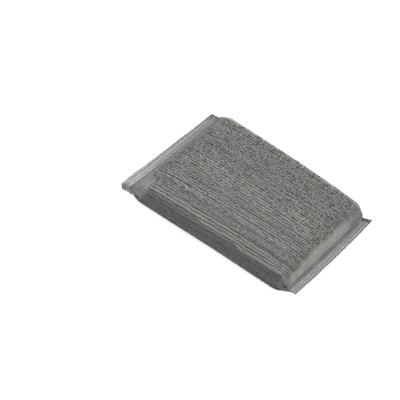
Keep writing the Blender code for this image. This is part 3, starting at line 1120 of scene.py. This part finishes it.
# %% The shape of one fused end: a row of sections, one for each station
def end_shape(side):
    near, far = weld_sides(side)
    rng = np.random.default_rng(40 + side)
    spots = np.linspace(0, 1, STATIONS)
    ragged = np.interp(spots, np.linspace(0, 1, 60), rng.uniform(-1, 1, 60)) * RAGGED
    wave = np.interp(spots, np.linspace(0, 1, 9), rng.uniform(-1, 1, 9))
    spots, ragged, wave = spots[:, None], ragged[:, None], wave[:, None]
    from_near, from_far = spots * (far - near), (1 - spots) * (far - near)
    edge = np.minimum(from_near, from_far)
    most = WELD_DEPTH + ragged
    if side < 0:
        most = most - EAR_RADIUS + np.sqrt(EAR_RADIUS ** 2 - np.maximum(EAR_RADIUS - from_near, 0) ** 2)
    top = mix(-INSIDE, most, np.linspace(0, 1, ACROSS))
    out = np.concatenate([top, top[:, ::-1]], 1)
    face = np.repeat([1.0, -1.0], ACROSS)
    depth = clamp(out / WELD_DEPTH)
    y = mix(near + NEAR_NECK * (1 - depth), far - FAR_NECK[side] * (1 - depth), spots)
    y = y - EAR_REACH[side] * clamp(1 - from_near / REACH_WIDTH) ** 1.5 * depth
    rim = rounded(most - out) * rounded(edge)
    raised = knurl_at(y, out, side, mix(*KNURL_START[side], spots)) * rise(0, 0.0008, edge)
    if side < 0:
        raised = raised * rise(0.0030, 0.0050, from_near)
    half = mix(FILM_HALF, 0.5 * FILM_HALF, depth)
    half = half + FILLET * clamp((FILLET_REACH - out) / (FILLET_REACH + INSIDE)) ** 2
    z = WELD_HEIGHT + face * rim * (half + (raised - 0.5) * KNURL_HEIGHT[side]) + EDGE_WAVE * wave * depth
    round_near = np.sqrt(1 - (1 - clamp(from_near / NEAR_ROUNDING)) ** 2)
    web = WEB[side] * clamp(1 - from_near / WEB_WIDTH) ** 1.3 * round_near
    web = web * (rise(0, 0.0007, most - out) if side < 0 else clamp((0.0042 - out) / (0.0042 + INSIDE)))
    roll = 1 - np.sqrt(1 - np.maximum(1 - from_near / DROOP_WIDTH, 0.0) ** 2)
    z = z - rim * np.where(face < 0, web, EAR_DROOP[side] * roll)
    lift = EAR_LIFT[side] * clamp(1 - from_far / LIFT_WIDTH) ** 2 * depth
    z = z + lift + root_lift(side, from_far)
    bulge = EDGE_BULGE[side] * 4 * spots * (1 - spots) * depth
    x = side * (ROOT + out + bulge + 0.4 * np.maximum(lift, 0))
    x = x - WELD_SLANT * max(side, 0) * (y - near) / (far - near)
    return np.stack([x, y, z], -1), raised, out, from_near, from_far


# %% The tones of one fused end, with painted light and shade
def end_tones_and_painted_light(side, points, raised, out, from_near, from_far):
    near_share = from_far / (from_near + from_far)
    inner_part = fall(0.0012, 0.0028, side * points[..., 0] - ROOT)
    # Painted light along the root, against the shade of the crease there.
    painted_light_at_root = 0.30 * fall(0.0, 0.0012, out)
    if side < 0:
        # Painted light on the ear's slope and more on its outer part, which face away from the lamps;
        # painted shade in the joint of the ear and the root.
        painted_light_on_slope = rise(0.0, 0.0008, from_near) - rise(0.0020, 0.0060, from_near)
        painted_root_shade = fall(0.0015, 0.0060, out) * fall(0.0005, 0.0040, from_near)
        far_tip = fall(0.0020, 0.0100, from_far)
        tone_and_painted_light = mix(-0.12, 0.06, near_share) + inner_part * mix(-0.02, 0.38, near_share)
        tone_and_painted_light = tone_and_painted_light + (0.32 + 0.40 * rise(0.0025, 0.0060, out)) * painted_light_on_slope - 0.05 * painted_root_shade - 0.12 * far_tip
        tone_and_painted_light = tone_and_painted_light + painted_light_at_root * rise(0.003, 0.009, from_near)
        contrast = mix(0.8, 1.15, near_share) * (1 - 0.6 * far_tip)
    else:
        # On the right, painted shade darkens the inner part, shaded by the end wall, and the fold along the
        # far ear.
        tone_and_painted_light = painted_light_at_root - 0.08 - 0.24 * inner_part - 0.50 * fall(0.0010, 0.0048, from_far)
        contrast = 0.6
    # Painted shade in the pocket.
    tone_and_painted_light = tone_and_painted_light - 0.9 * np.exp(-np.sum((points - POCKET) ** 2, -1) / 0.0009 ** 2)
    return raised * contrast + tone_and_painted_light


# %% Both fused ends
def fused_end(name, side):
    shape = end_shape(side)
    faces = list(grid_faces(STATIONS, 2 * ACROSS)[:, ::side])
    first = list(range(2 * ACROSS))
    last = [(STATIONS - 1) * 2 * ACROSS + number for number in first]
    piece = new_piece(name, shape[0], faces + [first[::-side], last[::side]])
    write(piece.data.attributes.new("knurl_and_painted_light", "FLOAT", "POINT").data, "value", end_tones_and_painted_light(side, *shape))
    dress(piece, film)
    return piece


fused = [fused_end("fused_end_left", -1), fused_end("fused_end_right", 1)]
print("fused ends:", [len(p.data.polygons) for p in fused], "faces")

# %% [markdown]
# ## Which piece stands for which solid
#
# The foam replaces the foam solid. The inner side, the four bands of loops and the two fused ends are one
# sleeve, so all of them replace the sleeve solid.

# %% Attach the pieces to the root body, and hide the solids they replace
for piece in [inner_side, *bands, *fused]:
    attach(piece, "root")
    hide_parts("knit_sleeve")
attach(foam_block, "root")
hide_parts("foam_core")
print("sleeve:", 1 + len(bands) + len(fused), "pieces, foam:", foam_block.name)

# %% [markdown]
# ## The table, the light and the camera
#
# The pad lies on a white table. The table is a plain diffuse surface that also glows a little, but only
# for the camera and for reflections, so it reads as white and still takes the pad's soft shadow. The world
# is white for them too, and dimmer as a light.


# %% White table
def seen(tree):
    """1 for rays from the camera or off a glossy or clear surface, 0 for the rays that only carry light."""
    rays = add(tree, "ShaderNodeLightPath").outputs
    direct = maths(tree, "MAXIMUM", rays["Is Camera Ray"], rays["Is Glossy Ray"])
    return maths(tree, "MAXIMUM", direct, rays["Is Transmission Ray"])


table = new_piece("table", [(-1.5, -1.5, 0), (1.5, -1.5, 0), (1.5, 1.5, 0), (-1.5, 1.5, 0)], [(0, 1, 2, 3)])
white = bpy.data.materials.new("white table")
white.use_nodes = True
tree = white.node_tree
tree.nodes.clear()
matt = add(tree, "ShaderNodeBsdfDiffuse", {"Color": (0.85, 0.85, 0.85, 1)})
strength = maths(tree, "MULTIPLY", seen(tree), 0.7)
glow = add(tree, "ShaderNodeEmission", {"Color": (1, 1, 1, 1), "Strength": strength})
both = add(tree, "ShaderNodeAddShader", {0: matt.outputs[0], 1: glow.outputs[0]})
tree.links.new(both.outputs[0], add(tree, "ShaderNodeOutputMaterial").inputs["Surface"])
table.data.materials.append(white)
print("table:", white.name)

# %% White world
world = bpy.data.worlds.new("white world")
bpy.context.scene.world = world
world.use_nodes = True
tree = world.node_tree
tree.nodes.clear()
strength = maths(tree, "MULTIPLY_ADD", seen(tree), 0.45, 0.55)
sky = add(tree, "ShaderNodeBackground", {"Color": (1, 1, 1, 1), "Strength": strength})
tree.links.new(sky.outputs[0], add(tree, "ShaderNodeOutputWorld").inputs["Surface"])
print("world:", world.name)


# %% Soft lamps
def soft_lamp(name, place, size, power, aim=(0, 0, 0.007)):
    lamp = bpy.data.lights.new(name, "AREA")
    lamp.shape, lamp.size, lamp.energy = "SQUARE", size, power
    holder = new_object(name, lamp)
    holder.location = place
    holder.rotation_euler = (Vector(aim) - Vector(place)).to_track_quat("-Z", "Y").to_euler()


soft_lamp("key over the far left", (-0.80, 1.10, 1.80), 1.1, 26.0)
soft_lamp("fill from the right", (1.1, -0.2, 0.7), 0.9, 4.0)
print("lamps:", [lamp.name for lamp in bpy.data.lights])

# %% [markdown]
# The photograph was taken from about forty degrees above the table with a long lens. The camera is placed
# by what a photographer would note down: the point it looks at, the distance, two angles, and a slight
# roll.

# %% Camera
AIM = Vector((-0.02313, -0.02216, 0.0065))
AZIMUTH, ELEVATION, ROLL = math.radians(31.22), math.radians(43.29), math.radians(9.798)
DISTANCE, LENS = 1.13563, 170.83
ground = math.cos(ELEVATION)
back = Vector((math.sin(AZIMUTH) * ground, -math.cos(AZIMUTH) * ground, math.sin(ELEVATION)))
level = Vector((0, 0, 1)).cross(back).normalized()
upright = back.cross(level)
right = level * math.cos(ROLL) + upright * math.sin(ROLL)
up = upright * math.cos(ROLL) - level * math.sin(ROLL)
view = bpy.data.cameras.new("camera")
view.lens, view.sensor_width, view.clip_start, view.clip_end = LENS, 36.0, 0.05, 20.0
camera = new_object("camera", view)
place = AIM + back * DISTANCE
camera.matrix_world = Matrix(((right.x, up.x, back.x, place.x), (right.y, up.y, back.y, place.y),
                              (right.z, up.z, back.z, place.z), (0, 0, 0, 1)))
bpy.context.scene.camera = camera
bpy.context.scene.view_settings.view_transform = "Standard"
print("camera at", [round(v, 3) for v in place])
